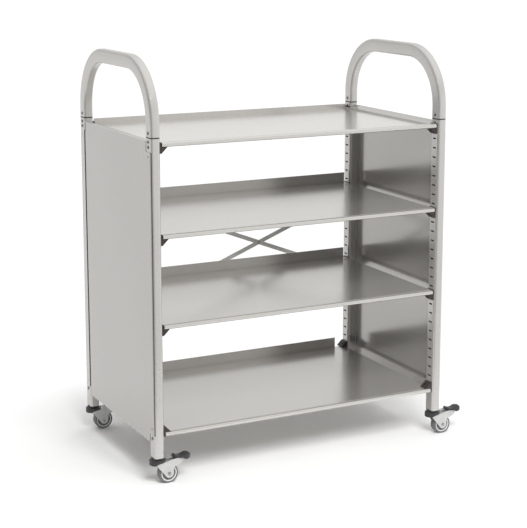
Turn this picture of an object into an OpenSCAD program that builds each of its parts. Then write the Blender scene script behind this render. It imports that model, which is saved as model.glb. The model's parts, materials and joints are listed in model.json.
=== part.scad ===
// Mobile shelving unit: four shelves between two panelled end frames on braked castors.
// X runs across the width, Y from front to back, Z up from the floor.

/* [Frame] */
// Distance between the upright centre lines across the width
frame_dx = 815; // [600:5:1000]
// Distance between the upright centre lines from front to back
frame_dy = 457; // [400:1:560]
// Height of the handle joint above the floor
joint_z = 870; // [820:25:1070]
// Height of the castors, from the floor to the foot of the uprights
castor_h = 70; // [70:1:90]

/* [Uprights and handles] */
// Width of the oval tube, across the unit
tube_w = 25; // [24:0.5:30]
// Depth of the oval tube, from front to back
tube_d = 36; // [34:0.5:44]
// Corner radius of the oval tube
tube_r = 7; // [6:0.5:8]
// Wall of the oval tube
tube_wall = 2; // [1.6:0.1:2.4]
// Height of a handle loop above its joint
handle_h = 190; // [180:5:240]
// Bend radius of a handle loop, on the centre line of the tube
handle_bend_r = 140; // [110:5:150]
// Width of the groove beside the outer flat of an upright
groove_w = 4; // [3:0.5:5]
// Depth of that groove
groove_depth = 4; // [3:0.5:5]
// Length of a shelf slot in the inner face of an upright
slot_l = 14; // [12:1:18]
// Height of a shelf slot
slot_h = 4; // [3:0.5:5]
// Vertical pitch of the shelf slots
slot_pitch = 25; // [24:1:30]
// Depth of the first shelf slot below the handle joint
slot_first = 27; // [25:1:32]

/* [Joints] */
// Thickness of the dark ring between a handle leg and an upright
ring_t = 3.2; // [1:0.2:4]
// Length of a spigot inside the upright
spigot_below = 31; // [28:1:33]
// Length of a spigot inside the handle leg
spigot_above = 24; // [20:1:30]
// Shank radius of the frame screws
screw_r = 2.5; // [2:0.1:3]
// Head radius of the frame screws
head_r = 4.2; // [3.8:0.1:5]
// Head height of the frame screws
head_h = 2.4; // [1.5:0.1:3]
// Distance of the joint bolts from the joint, up and down
bolt_offset = 10.5; // [9:0.5:13]
// Depth of the lower joint screw below the joint
lower_screw_drop = 23; // [21:0.5:25]
// Height of the foot screw above the foot of the upright
foot_screw_rise = 49; // [44:1:60]

/* [Side panels] */
// Thickness of the panel sheet
panel_t = 1.2; // [1:0.1:2]
// Distance from the handle joint down to the panel top
panel_drop = 9; // [6:1:20]
// Distance from the upright foot up to the panel bottom
panel_rise = 37; // [30:1:60]
// Width of the flange along the bottom of a panel
panel_flange = 14; // [10:1:18]
// Width of the hem beside each upright
panel_hem = 8; // [5:0.5:12]
// Distance from the rear edge of a panel's outer face to the rear upright
panel_reveal = 7; // [4:0.5:8]
// Depth of the joggle that carries a panel on from that edge to the rear upright
panel_joggle = 6; // [5:0.5:7]
// Fall of the top flange of a panel towards the shelf
flange_fall = 6; // [4:0.5:7]

/* [Shelves] */
// Thickness of the shelf sheet
shelf_t = 1.2; // [1:0.1:2]
// Height of the rolled front edge of a shelf
roll_h = 11.5; // [11:0.5:14]
// Distance from the front of the uprights back to the shelf edge
shelf_setback = 1.5; // [0:0.5:6]
// Depth of the top shelf's deck below its rolled edge
top_dish = 8; // [6:0.5:9]
// Height of the rear lip of the top shelf above its deck
top_lip = 14; // [8:1:25]
// Height of the rear upstand of the other shelves
upstand = 29; // [20:1:40]
// Slot that carries the upper shelf, counted down from the top shelf
upper_step = 9; // [6:1:11]
// Slot that carries the middle shelf, counted down from the top shelf
middle_step = 18; // [15:1:20]

/* [Shelf brackets] */
// Thickness of a bracket plate, between an upright and a shelf end
plate_t = 5; // [4:0.5:8]
// Height of a bracket plate
plate_h = 27; // [27:1:34]
// Depth of a bracket from front to back
bracket_d = 26; // [24:1:28]
// Width and height of a bracket wedge
wedge = 15; // [13:1:18]

/* [Brace] */
// Width of a brace bar
bar_w = 12; // [8:1:18]
// Thickness of a brace bar
bar_t = 2; // [1.5:0.5:4]
// Place of the brace crossing, to the right of the centre
cross_x = 115; // [0:5:150]
// Height of the brace crossing above the floor
cross_z = 475; // [440:5:500]
// Slope of the brace bars
bar_angle = 21.3; // [18:0.1:24]

/* [Castors] */
// Radius of a wheel
wheel_r = 25; // [22:0.5:25]
// Width of a tyre
tyre_w = 21; // [18:0.5:24]
// Thickness of the tyre rubber
tyre_t = 4.5; // [3:0.5:7]
// Distance of the wheel axle behind the swivel axis
trail = 27; // [24:1:32]
// Thickness of the fork sheet
fork_t = 2; // [1.5:0.5:3]
// Radius of the castor stem
stem_r = 5; // [4:0.5:6]
// Radius of the axle bolt
axle_r = 3; // [2.5:0.5:4]
// Radius of the black swivel collar
collar_r = 20.5; // [19:0.5:23]
// Distance of the brake pedal pin from the swivel axis
pedal_pin_x = 62; // [60:1:68]
// Distance of the pedal tip from the swivel axis
pedal_tip_x = 88; // [86:1:96]

/* [Hidden] */
$fn = 48;
eps = 0.5;
gap = 0.3;
fit = 0.05;
slide_fit = 0.2;

// Colours
silver = [0.80, 0.80, 0.78];
sheet_grey = [0.72, 0.71, 0.69];
shelf_grey = [0.78, 0.78, 0.76];
joint_black = [0.12, 0.12, 0.12];
plastic_black = [0.10, 0.09, 0.09];
steel = [0.62, 0.62, 0.62];
zinc = [0.84, 0.84, 0.84];
hub_grey = [0.50, 0.50, 0.50];
rubber_grey = [0.30, 0.30, 0.30];

// Frame
upright_h = joint_z - castor_h - ring_t / 2;
inner_face = frame_dx / 2 - tube_w / 2;
outer_face = frame_dx / 2 + tube_w / 2;
brace_y = frame_dy / 2 + tube_d / 2;
screw_l = 8;
brace_bolt_l = 6;
corners = [[-1, -1], [1, -1], [-1, 1], [1, 1]];

// The origin is below the middle of the whole unit, castors at rest included
reach_left = frame_dx / 2 + max(tube_w / 2 + head_h, collar_r);
reach_right = frame_dx / 2 + pedal_tip_x;
reach_front = frame_dy / 2 + max(tube_d / 2, collar_r);
reach_rear = brace_y + 2 * bar_t + head_h;
off_x = (reach_left - reach_right) / 2;
off_y = (reach_front - reach_rear) / 2;

// Groove beside the outer flat
groove_past_flat = 3;
groove_y = -(tube_d / 2 - tube_r) - groove_past_flat;
groove_drop = 34;
groove_rise = 58;
groove_top = joint_z - groove_drop;
groove_bottom = castor_h + groove_rise;
channel_wall = 1.8;

// Slots
slot_low = 70;
slot_count = floor((joint_z - castor_h - slot_first - slot_low) / slot_pitch) + 1;
function slot_z(step) = joint_z - slot_first - step * slot_pitch;
tab_fit = 0.4;
tab_l = slot_l - 2 * tab_fit;
tab_h = slot_h - 2 * tab_fit;
bracket_bolt_z = joint_z - bolt_offset - slot_z(0);

// Shelves hang on slots through the bracket tabs
tab_drop = 15.5;
bottom_tab_rise = 8.25;
top_shelf_z = slot_z(0) + tab_drop;
upper_shelf_z = slot_z(upper_step) + tab_drop;
middle_shelf_z = slot_z(middle_step) + tab_drop;
bottom_shelf_z = slot_z(slot_count - 1) - bottom_tab_rise;
roll_r = roll_h / 2;
shelf_w = 2 * (inner_face - plate_t);
shelf_front = -frame_dy / 2 - tube_d / 2 + shelf_setback;
shelf_rear = frame_dy / 2;
top_lip_inset = 0;
upstand_inset = 4;
bottom_upstand_inset = 30;
rim_drop = 3.5;

// Side panels
panel_top = joint_z - panel_drop;
panel_bottom = castor_h + panel_rise;
panel_h = panel_top - panel_bottom;
panel_end_y = frame_dy / 2 - tube_d / 2 - gap;
panel_front_inset = 13;
panel_front = -frame_dy / 2 + panel_front_inset;
panel_rear = frame_dy / 2 - tube_d / 2 - panel_reveal;
tongue_front = -frame_dy / 2 + groove_y + groove_w / 2;
corner_notch = 6;
shelf_gap = 1;
rivet_r = 1.6;
rivet_head_r = 2.6;
rivet_head_h = 1;
rivet_grip = 2;
rivet_top = groove_top - 12;
rivet_bottom = groove_bottom + 15;
clip_t = 1.5;
clip_h = 20;
clip_leg = 14;
clip_inset = 17;
clip_top = panel_top - 3 * clip_inset;
clip_bottom = panel_bottom + 3 * clip_inset;

// Bracket screws
peg_r = 1.7;
peg_head_r = 3;
peg_head_h = 2;
peg_x = 6.5;
peg_seat = 3.5;
peg_y = 2;
rear_peg_shift = 4;
peg_through = 4;

// Castors
stem_top = castor_h + 26;
plug_h = 25;
plug_flange_h = 3;
plug_bottom = castor_h - plug_flange_h;
collar_top = plug_bottom - 1;
fork_top = castor_h - 13;
fork_plate_t = 3;
fork_in = tyre_w / 2 + 1.5;
fork_out = fork_in + fork_t;
stem_head_r = 8;
stem_head_h = 2;
stem_flange_r = 9;
boss_r = 11;
axle_head_r = 5;
axle_head_h = 2;
pin_r = 2;
pin_z = fork_top + 1.5;
pin_head_r = 3.2;
pin_head_h = 1.2;
ear_r = 4;
fork_back = 7;
fork_front_h = 9;
brow_rise = 17;
brow_drop = 13;
hub_r = wheel_r - tyre_t;
skirt_h = 6.5;
skirt_r = norm([fork_back, fork_out]) + gap;
pedal_half = fork_in - 1;
cheek_rise = 4.5;
cheek_back_x = pedal_pin_x - 20;
cheek_front_x = collar_r + 7.5;

module rounded_rect(w, d, r) {
    square([w, d - 2 * r], center = true);
    square([w - 2 * r, d], center = true);
    for (sx = [-1, 1], sy = [-1, 1])
        translate([sx * (w / 2 - r), sy * (d / 2 - r)]) circle(r);
}

// Oval tube outline, drawn in by an inset
module tube_section(inset = 0) {
    rounded_rect(tube_w - 2 * inset, tube_d - 2 * inset, tube_r - inset);
}

// Children placed on one upright, with the outer face turned to local -X
module at_upright(sx, sy) {
    translate([off_x + sx * frame_dx / 2, off_y + sy * frame_dy / 2, 0])
        mirror([sx > 0 ? 1 : 0, 0, 0]) children();
}

module at_all_uprights() {
    for (c = corners) at_upright(c[0], c[1]) children();
}

// Cylinder along X from x0 to x1
module rod_x(r, x0, x1) {
    translate([x0, 0, 0]) rotate([0, 90, 0]) cylinder(r = r, h = x1 - x0);
}

// Cylinder along Y from y0 to y1
module rod_y(r, y0, y1) {
    translate([0, y1, 0]) rotate([90, 0, 0]) cylinder(r = r, h = y1 - y0);
}

module upright(sx, sy) {
    color(silver) at_upright(sx, sy) difference() {
        union() {
            difference() {
                translate([0, 0, castor_h]) linear_extrude(upright_h) tube_section();
                translate([0, 0, castor_h - eps])
                    linear_extrude(upright_h + 2 * eps) tube_section(tube_wall);
            }
            intersection() {
                translate([0, 0, groove_bottom - channel_wall])
                    linear_extrude(groove_top - groove_bottom + 2 * channel_wall) tube_section();
                translate([-tube_w / 2, groove_y - groove_w / 2 - channel_wall, groove_bottom - channel_wall])
                    cube([groove_depth + channel_wall, groove_w + 2 * channel_wall,
                          groove_top - groove_bottom + 2 * channel_wall]);
            }
        }
        translate([-tube_w / 2 - eps, groove_y - groove_w / 2, groove_bottom])
            cube([groove_depth + eps, groove_w, groove_top - groove_bottom]);
        for (step = [0 : slot_count - 1])
            translate([tube_w / 2 - tube_wall - eps, -slot_l / 2, slot_z(step) - slot_h / 2])
                cube([tube_wall + 2 * eps, slot_l, slot_h]);
        translate([0, 0, joint_z - bolt_offset]) rod_x(screw_r + fit, -tube_w, tube_w);
        for (z = [joint_z - lower_screw_drop, castor_h + foot_screw_rise])
            translate([0, 0, z]) rod_x(screw_r + fit, -tube_w, 0);
        for (z = [rivet_top, rivet_bottom])
            translate([0, 0, z]) rod_x(rivet_r + fit, -tube_w, 0);
        if (sy > 0) {
            rear_bolt_holes(sx);
            for (z = [clip_top, clip_bottom])
                translate([0, 0, z]) rod_y(rivet_r + fit, -tube_d, 0);
        }
    }
}

// Bolt holes for the brace in the rear wall of a rear upright
module rear_bolt_holes(sx) {
    for (rising = [false, true])
        translate([0, 0, bar_end_z(sx, rising)]) rod_y(screw_r + fit, 0, tube_d);
}

// Solid form of one handle loop with its tube drawn in by an inset
module handle_form(inset, below) {
    leg_top = joint_z + handle_h - tube_d / 2 - handle_bend_r;
    leg_bottom = joint_z + ring_t / 2 - below;
    bend_y = frame_dy / 2 - handle_bend_r;
    for (sy = [-1, 1]) {
        translate([0, sy * frame_dy / 2, leg_bottom])
            linear_extrude(leg_top - leg_bottom) tube_section(inset);
        translate([0, sy * bend_y, leg_top]) rotate([0, 90, 0]) rotate([0, 0, sy > 0 ? 90 : 180])
            rotate_extrude(angle = 90) translate([handle_bend_r, 0]) rotate(90) tube_section(inset);
    }
    translate([0, bend_y, leg_top + handle_bend_r]) rotate([90, 0, 0])
        linear_extrude(2 * bend_y) tube_section(inset);
}

module handle(sx) {
    color(silver) translate([off_x + sx * frame_dx / 2, off_y, 0]) difference() {
        handle_form(0, 0);
        handle_form(tube_wall, eps);
        for (sy = [-1, 1])
            translate([0, sy * frame_dy / 2, joint_z + bolt_offset])
                rod_x(screw_r + fit, -tube_w, tube_w);
    }
}

// Aluminium spigots that carry the handle legs on the uprights
module joint_spigots() {
    color(steel) at_all_uprights() difference() {
        translate([0, 0, joint_z - spigot_below])
            linear_extrude(spigot_below + spigot_above) tube_section(tube_wall + slide_fit);
        for (z = [joint_z - bolt_offset, joint_z + bolt_offset])
            translate([0, 0, z]) rod_x(screw_r + fit, -tube_w, tube_w);
        translate([0, 0, joint_z - lower_screw_drop]) rod_x(screw_r + fit, -tube_w, 0);
    }
}

module joint_rings() {
    color(joint_black) at_all_uprights() translate([0, 0, joint_z - ring_t / 2])
        linear_extrude(ring_t) difference() {
            tube_section(0.3);
            tube_section(tube_wall);
        }
}

// Through bolts with a round head at each end
module joint_bolts() {
    half = tube_w / 2;
    color(steel) at_all_uprights() for (z = [joint_z - bolt_offset, joint_z + bolt_offset])
        translate([0, 0, z]) {
            rod_x(screw_r, -half - head_h, half + head_h);
            rod_x(head_r, -half - head_h, -half);
            rod_x(head_r, half, half + head_h);
        }
}

// Lower joint screws and foot screws on the outer flats
module frame_screws() {
    half = tube_w / 2;
    color(steel) at_all_uprights() for (z = [joint_z - lower_screw_drop, castor_h + foot_screw_rise])
        translate([0, 0, z]) {
            rod_x(screw_r, -half - head_h, screw_l - half);
            rod_x(head_r, -half - head_h, -half);
        }
}

// Children placed on one side of the unit, with the outer face turned to local -X
module at_side(sx) {
    translate([off_x, off_y, 0]) mirror([sx > 0 ? 1 : 0, 0, 0]) children();
}

// Folded sheet panel. Its front tongue laps the outer flat of the front upright,
// and a joggle at its rear edge steps in and runs on to the rear upright.
module panel(sx) {
    flange_rear = panel_rear - corner_notch;
    color(sheet_grey) at_side(sx) difference() {
        union() {
            translate([-outer_face - panel_t, panel_front, panel_bottom])
                cube([panel_t, panel_rear - panel_front, panel_h]);
            translate([-outer_face - panel_t, tongue_front, groove_bottom])
                cube([panel_t, panel_front - tongue_front + 1, groove_top - groove_bottom]);
            translate([-outer_face - panel_t, -panel_end_y, panel_bottom])
                cube([panel_flange, flange_rear + panel_end_y, panel_t]);
            translate([0, flange_rear, panel_top]) rotate([90, 0, 0])
                linear_extrude(flange_rear + panel_end_y) polygon([
                    [-outer_face - panel_t, -panel_t], [-outer_face - panel_t, 0],
                    [-shelf_w / 2 - shelf_gap, -flange_fall], [-shelf_w / 2 - shelf_gap, -flange_fall - panel_t]
                ]);
            for (y = [-panel_end_y, panel_rear - panel_hem])
                translate([-outer_face - panel_t, y, panel_bottom])
                    cube([2 * panel_t, panel_hem, panel_h]);
            translate([-outer_face, panel_rear - panel_t, panel_bottom])
                cube([panel_joggle, panel_t, panel_h]);
            translate([-outer_face + panel_joggle - panel_t, panel_rear - panel_t, panel_bottom])
                cube([panel_t, panel_end_y - panel_rear + panel_t, panel_h]);
        }
        for (z = [panel_bottom - 1, groove_top])
            translate([-outer_face - 2 * panel_t, panel_rear - corner_notch, z])
                cube([2 * panel_t, corner_notch + 1, z < groove_top ? groove_bottom - z : joint_z - z]);
        for (z = [rivet_top, rivet_bottom])
            translate([-outer_face, -frame_dy / 2, z]) rod_x(rivet_r + fit, -2 * panel_t, 2 * panel_t);
    }
}

// Angle clips that hold the rear edge of each panel to the rear upright
module panel_clips() {
    hem_face = -outer_face + panel_joggle;
    post_face = frame_dy / 2 - tube_d / 2;
    color(steel) for (sx = [-1, 1], z = [clip_top, clip_bottom]) at_side(sx)
        translate([hem_face, post_face - clip_leg, z - clip_h / 2]) difference() {
            union() {
                cube([clip_t, clip_leg, clip_h]);
                translate([0, clip_leg - clip_t, 0]) cube([clip_leg, clip_t, clip_h]);
            }
            translate([outer_face - frame_dx / 2 - panel_joggle, 0, clip_h / 2]) rod_y(rivet_r + fit, 0, clip_leg + 1);
        }
}

// Rivets through the panel tongues and the clips into the uprights
module panel_rivets() {
    post_face = frame_dy / 2 - tube_d / 2;
    color(steel) for (sx = [-1, 1]) at_side(sx) {
        for (z = [rivet_top, rivet_bottom]) translate([-outer_face, -frame_dy / 2, z]) {
            rod_x(rivet_r, -panel_t - rivet_head_h, tube_wall + rivet_grip);
            rod_x(rivet_head_r, -panel_t - rivet_head_h, -panel_t);
        }
        for (z = [clip_top, clip_bottom]) translate([-frame_dx / 2, post_face, z]) {
            rod_y(rivet_r, -clip_t - rivet_head_h, tube_wall + rivet_grip);
            rod_y(rivet_head_r, -clip_t - rivet_head_h, -clip_t);
        }
    }
}

// Folded sheet shelf with its rolled edge up to z and its deck level with it or sunk by a dish
module shelf(z, lip, inset, dish = 0, peg_holes = false) {
    half_w = shelf_w / 2;
    roll_rear = shelf_front + roll_h;
    deck_front = dish > 0 ? roll_rear - shelf_t : roll_rear - roll_r;
    flange_h = dish > 0 ? roll_h - rim_drop : roll_h;
    color(shelf_grey) translate([off_x, off_y, z]) difference() {
        union() {
            translate([-half_w, deck_front, -dish - shelf_t])
                cube([shelf_w, shelf_rear - deck_front, shelf_t]);
            translate([0, shelf_front + roll_r, -roll_r]) rotate([0, 90, 0]) difference() {
                cylinder(r = roll_r, h = shelf_w, center = true);
                cylinder(r = roll_r - shelf_t, h = shelf_w + 2 * eps, center = true);
            }
            for (x = [-half_w, half_w - shelf_t])
                translate([x, roll_rear, -roll_h])
                    cube([shelf_t, shelf_rear - roll_rear, flange_h]);
            if (dish > 0)
                translate([-half_w, roll_rear - shelf_t, -dish - shelf_t])
                    cube([shelf_w, shelf_t, dish + shelf_t - roll_r]);
            translate([inset - half_w, shelf_rear - shelf_t, -dish - shelf_t])
                cube([shelf_w - 2 * inset, shelf_t, shelf_t + lip]);
        }
        if (peg_holes)
            for (sx = [-1, 1], sy = [-1, 1])
                translate([sx * (half_w - peg_x), sy * (frame_dy / 2 - bracket_peg_y(sy)), -roll_h])
                    cylinder(r = peg_r + fit, h = 2 * roll_h);
    }
}

// Distance of a bracket screw in from the upright centre line, towards the middle
function bracket_peg_y(sy) = sy < 0 ? peg_y : peg_y + rear_peg_shift;

// One bracket, rolled edge of the shelf up to local z 0, upright centre at local y 0, upright inner face at local x 0
// Local +X runs towards the middle of the shelf
module bracket(sy, upside_down, dish) {
    seat_x = plate_t + shelf_t + gap;
    front_y = sy < 0 ? shelf_front + frame_dy / 2 + roll_h + gap : -bracket_d / 2;
    rear_y = sy < 0 ? bracket_d / 2 : -shelf_t - gap;
    plate_z = upside_down ? -roll_h : -plate_h;
    wedge_z = upside_down ? 0 : -roll_h;
    wedge_dir = upside_down ? 1 : -1;
    tab_z = upside_down ? bottom_tab_rise : -tab_drop;
    pocket_z = tab_z + (upside_down ? -1 : 1) * bracket_bolt_z;
    peg_at = plate_t + peg_x;
    py = -sy * bracket_peg_y(sy);
    difference() {
        union() {
            translate([0, -bracket_d / 2, plate_z]) cube([plate_t, bracket_d, plate_h]);
            translate([0, bracket_d / 2, wedge_z]) rotate([90, 0, 0]) linear_extrude(bracket_d)
                polygon([[plate_t - 1, 0], [plate_t + wedge, 0], [plate_t, wedge_dir * wedge],
                         [plate_t - 1, wedge_dir * wedge]]);
            translate([-tube_wall, -tab_l / 2, tab_z - tab_h / 2]) cube([tube_wall + 1, tab_l, tab_h]);
            if (!upside_down)
                translate([seat_x, front_y, -roll_h - 1])
                    cube([wedge - shelf_t - gap - 1, rear_y - front_y, roll_h + 1 - dish - shelf_t]);
        }
        translate([0, 0, pocket_z]) rod_x(head_r + gap, -eps, head_h + gap);
        translate([peg_at, py, wedge_z + wedge_dir * peg_seat - plate_h])
            cylinder(r = peg_r + fit, h = 2 * plate_h);
        translate([peg_at, py, upside_down ? peg_seat : wedge_z - peg_seat - wedge])
            cylinder(r = peg_head_r + fit, h = wedge);
    }
}

module shelf_brackets(z, upside_down = false, dish = 0) {
    color(plastic_black) for (sy = [-1, 1], sx = [-1, 1])
        translate([off_x + sx * inner_face, off_y + sy * frame_dy / 2, z])
            mirror([sx > 0 ? 1 : 0, 0, 0]) bracket(sy, upside_down, dish);
}

// One screw in each bracket, head in the wedge. A shelf is given by its height, side of the wedge and dish
module bracket_screws() {
    shelves = [[top_shelf_z, -1, top_dish], [upper_shelf_z, -1, 0], [middle_shelf_z, -1, 0],
               [bottom_shelf_z, 1, 0]];
    color(steel) for (s = shelves, sy = [-1, 1], sx = [-1, 1])
        translate([off_x + sx * (shelf_w / 2 - peg_x), off_y + sy * (frame_dy / 2 - bracket_peg_y(sy)), s[0]])
            if (s[1] > 0) {
                translate([0, 0, peg_seat]) cylinder(r = peg_head_r, h = peg_head_h);
                translate([0, 0, -peg_through]) cylinder(r = peg_r, h = peg_through + peg_seat + eps);
            } else {
                translate([0, 0, -roll_h - peg_seat - peg_head_h]) cylinder(r = peg_head_r, h = peg_head_h);
                translate([0, 0, -roll_h - peg_seat - eps])
                    cylinder(r = peg_r, h = roll_h + peg_seat + eps - s[2] - shelf_t);
            }
}

// Height of a bar end at an upright: the rising bar climbs to the right
function bar_end_z(sx, rising) =
    cross_z + (rising ? 1 : -1) * (sx * frame_dx / 2 - cross_x) * tan(bar_angle);

// Flat bar with round ends and three holes, its front face at local y 0
module brace_bar(rising) {
    left_z = bar_end_z(-1, rising);
    right_z = bar_end_z(1, rising);
    angle = atan2(right_z - left_z, frame_dx);
    length = frame_dx / cos(angle);
    translate([-frame_dx / 2, 0, left_z]) rotate([0, -angle, 0]) difference() {
        union() {
            translate([0, 0, -bar_w / 2]) cube([length, bar_t, bar_w]);
            for (x = [0, length]) translate([x, 0, 0]) rod_y(bar_w / 2, 0, bar_t);
        }
        for (x = [0, length, (frame_dx / 2 + cross_x) / cos(angle)])
            translate([x, 0, 0]) rod_y(screw_r + fit, -eps, bar_t + eps);
    }
}

module brace_rising_bar() {
    color(silver) translate([off_x, off_y + brace_y, 0]) brace_bar(true);
}

module brace_falling_bar() {
    color(silver) translate([off_x, off_y + brace_y + bar_t, 0]) brace_bar(false);
}

module brace_centre_rivet() {
    color(steel) translate([off_x + cross_x, off_y + brace_y, cross_z]) {
        rod_y(screw_r, -head_h, 2 * bar_t + head_h);
        rod_y(head_r, -head_h, 0);
        rod_y(head_r, 2 * bar_t, 2 * bar_t + head_h);
    }
}

module brace_end_bolts() {
    color(steel) translate([off_x, off_y + brace_y, 0]) for (sx = [-1, 1], rising = [false, true]) {
        stack = rising ? bar_t : 2 * bar_t;
        translate([sx * frame_dx / 2, 0, bar_end_z(sx, rising)]) {
            rod_y(screw_r, -brace_bolt_l, stack + head_h);
            rod_y(head_r, stack, stack + head_h);
        }
    }
}

// Washers that hold the falling bar off the uprights
module brace_spacers() {
    color(steel) translate([off_x, off_y + brace_y, 0]) for (sx = [-1, 1])
        translate([sx * frame_dx / 2, 0, bar_end_z(sx, false)]) difference() {
            rod_y(bar_w / 2, 0, bar_t);
            rod_y(screw_r + fit, -eps, bar_t + eps);
        }
}

// Plugs in the feet of the uprights, bored for the castor stems
module upright_plugs() {
    color(plastic_black) at_all_uprights() difference() {
        union() {
            translate([0, 0, plug_bottom]) linear_extrude(plug_flange_h) tube_section(0.5);
            translate([0, 0, castor_h - eps]) linear_extrude(plug_h + eps) tube_section(tube_wall + slide_fit);
        }
        translate([0, 0, plug_bottom - eps]) cylinder(r = stem_r + fit, h = castor_h);
    }
}

// Stems with a flange under the plug and a riveted head under the fork plate
module castor_stems() {
    head_top = fork_top - fork_plate_t - gap;
    color(zinc) at_all_uprights() {
        translate([0, 0, head_top - stem_head_h]) cylinder(r = stem_r, h = stem_top - head_top + stem_head_h);
        translate([0, 0, head_top - stem_head_h]) cylinder(r = stem_head_r, h = stem_head_h);
        translate([0, 0, collar_top + gap]) cylinder(r = stem_flange_r, h = plug_bottom - collar_top - gap);
    }
}

// Children placed on the swivel axis of one castor, trailing to the right
module at_castor(c) {
    translate([off_x + c[0] * frame_dx / 2, off_y + c[1] * frame_dy / 2, 0]) children();
}

// Point where a line from p touches a circle
function tangent(p, c, r, side) =
    let (back = atan2(p[1] - c[1], p[0] - c[0]), turn = acos(r / norm(c - p)))
    c + r * [cos(back + side * turn), sin(back + side * turn)];

// Side of the fork in the XZ plane
module fork_side() {
    heel = [-fork_back, fork_top - fork_back];
    hub = [trail, wheel_r];
    ear = [pedal_pin_x, pin_z];
    polygon([
        [-fork_back, fork_top], heel, tangent(heel, hub, boss_r, 1), hub, [trail + boss_r, wheel_r],
        [trail + boss_r, wheel_r + brow_rise], [pedal_pin_x - 10, fork_top - brow_drop],
        [pedal_pin_x + ear_r / 2, fork_top - ear_r], ear, [pedal_pin_x - 5, pin_z + 1.5],
        [cheek_back_x, fork_top + cheek_rise], [cheek_front_x, fork_top + cheek_rise - 1],
        [collar_r + gap, fork_top]
    ]);
    translate(hub) circle(boss_r);
    translate(ear) circle(ear_r);
}

module fork(c) {
    color(zinc) at_castor(c) difference() {
        union() {
            translate([0, 0, fork_top - fork_plate_t]) cylinder(r = fork_out, h = fork_plate_t);
            translate([0, -fork_in - 0.5, fork_top - fork_plate_t])
                cube([pedal_pin_x - 14, 2 * fork_in + 1, fork_plate_t]);
            for (y = [fork_out, -fork_in])
                translate([0, y, 0]) rotate([90, 0, 0]) linear_extrude(fork_t) fork_side();
            intersection() {
                translate([0, 0, fork_top - fork_front_h]) difference() {
                    cylinder(r = fork_out, h = fork_front_h);
                    translate([0, 0, -eps]) cylinder(r = fork_in, h = fork_front_h + 2 * eps);
                }
                translate([-2 * collar_r, -collar_r, 0]) cube([2 * collar_r, 2 * collar_r, castor_h]);
            }
        }
        cylinder(r = stem_r + fit, h = castor_h);
        translate([trail, 0, wheel_r]) rod_y(axle_r + fit, -collar_r, collar_r);
        translate([pedal_pin_x, 0, pin_z]) rod_y(pin_r + fit, -collar_r, collar_r);
    }
}

module collar(c) {
    color(plastic_black) at_castor(c) difference() {
        union() {
            translate([0, 0, fork_top]) cylinder(r = collar_r, h = 6);
            translate([0, 0, fork_top]) cylinder(r = collar_r - 3.5, h = collar_top - fork_top);
            intersection() {
                translate([0, 0, fork_top - skirt_h]) difference() {
                    cylinder(r = collar_r, h = skirt_h + 1);
                    translate([0, 0, -eps]) cylinder(r = skirt_r, h = skirt_h + eps);
                }
                translate([-2 * collar_r, -collar_r, 0]) cube([2 * collar_r - gap, 2 * collar_r, castor_h]);
            }
        }
        translate([0, 0, fork_top - eps]) cylinder(r = stem_r + gap, h = castor_h);
    }
}

module axle(c) {
    color(steel) at_castor(c) translate([trail, 0, wheel_r]) {
        rod_y(axle_r, -fork_out - axle_head_h, fork_out + axle_head_h);
        rod_y(axle_head_r, -fork_out - axle_head_h, -fork_out);
        rod_y(axle_head_r, fork_out, fork_out + axle_head_h);
    }
}

// Hub with a centre boss, a thin web and a raised rim ring
module hub(c) {
    boss_w = fork_in - 0.2;
    rim_w = tyre_w / 2 - 0.5;
    web_w = tyre_w / 2 - 3;
    rim_in = hub_r - 2.3;
    color(hub_grey) at_castor(c) translate([trail, 0, wheel_r]) rotate([90, 0, 0]) rotate_extrude()
        polygon([
            [axle_r + fit, -boss_w], [8, -boss_w], [9.5, -web_w], [rim_in, -web_w], [rim_in, -rim_w],
            [hub_r, -rim_w], [hub_r, rim_w], [rim_in, rim_w], [rim_in, web_w], [9.5, web_w],
            [8, boss_w], [axle_r + fit, boss_w]
        ]);
}

module tyre(c) {
    round_r = min(2.5, tyre_t / 2);
    color(rubber_grey) at_castor(c) translate([trail, 0, wheel_r]) rotate([90, 0, 0]) rotate_extrude() {
        translate([hub_r, -tyre_w / 2]) square([tyre_t - round_r, tyre_w]);
        translate([hub_r, round_r - tyre_w / 2]) square([tyre_t, tyre_w - 2 * round_r]);
        for (s = [-1, 1])
            translate([wheel_r - round_r, s * (tyre_w / 2 - round_r)]) circle(round_r);
    }
}

// Rocking brake pedal: a narrow inner lobe and a broad outer lobe
module brake_pedal(c) {
    bar_z = pin_z + 4;
    bar_low = bar_z - 1.5;
    bar_h = 5;
    arm_l = 28;
    arm_w = 8;
    arm_h = 3;
    inner_r = 5;
    inner_x = pedal_pin_x - 17;
    boss_wall = 2.5;
    lobe_l = 20;
    lobe_h = 16;
    lobe_r = 6;
    lobe_over = 2;
    lobe_z = pin_z + 3.5;
    plan_r = pedal_half + 2;
    color(plastic_black) at_castor(c) difference() {
        union() {
            translate([inner_x + inner_r - arm_l, -arm_w / 2, bar_low]) cube([arm_l, arm_w, arm_h]);
            translate([inner_x, 0, bar_z + 2]) rod_y(inner_r, -pedal_half, pedal_half);
            translate([inner_x, -pedal_half, bar_low])
                cube([pedal_tip_x - 0.7 * lobe_l - inner_x, 2 * pedal_half, bar_h]);
            translate([pedal_pin_x, 0, pin_z]) rod_y(pin_r + boss_wall, -pedal_half, pedal_half);
            intersection() {
                translate([pedal_tip_x + lobe_over - lobe_l / 2, plan_r + 1, lobe_z]) rotate([90, 0, 0])
                    linear_extrude(2 * plan_r + 2) rounded_rect(lobe_l, lobe_h, lobe_r);
                union() {
                    translate([pedal_tip_x - plan_r, 0, 0]) cylinder(r = plan_r, h = 2 * castor_h);
                    translate([pedal_tip_x - 2 * plan_r, -plan_r, 0]) cube([plan_r, 2 * plan_r, 2 * castor_h]);
                }
            }
        }
        translate([pedal_pin_x, 0, pin_z]) rod_y(pin_r + fit, -collar_r, collar_r);
    }
}

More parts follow.
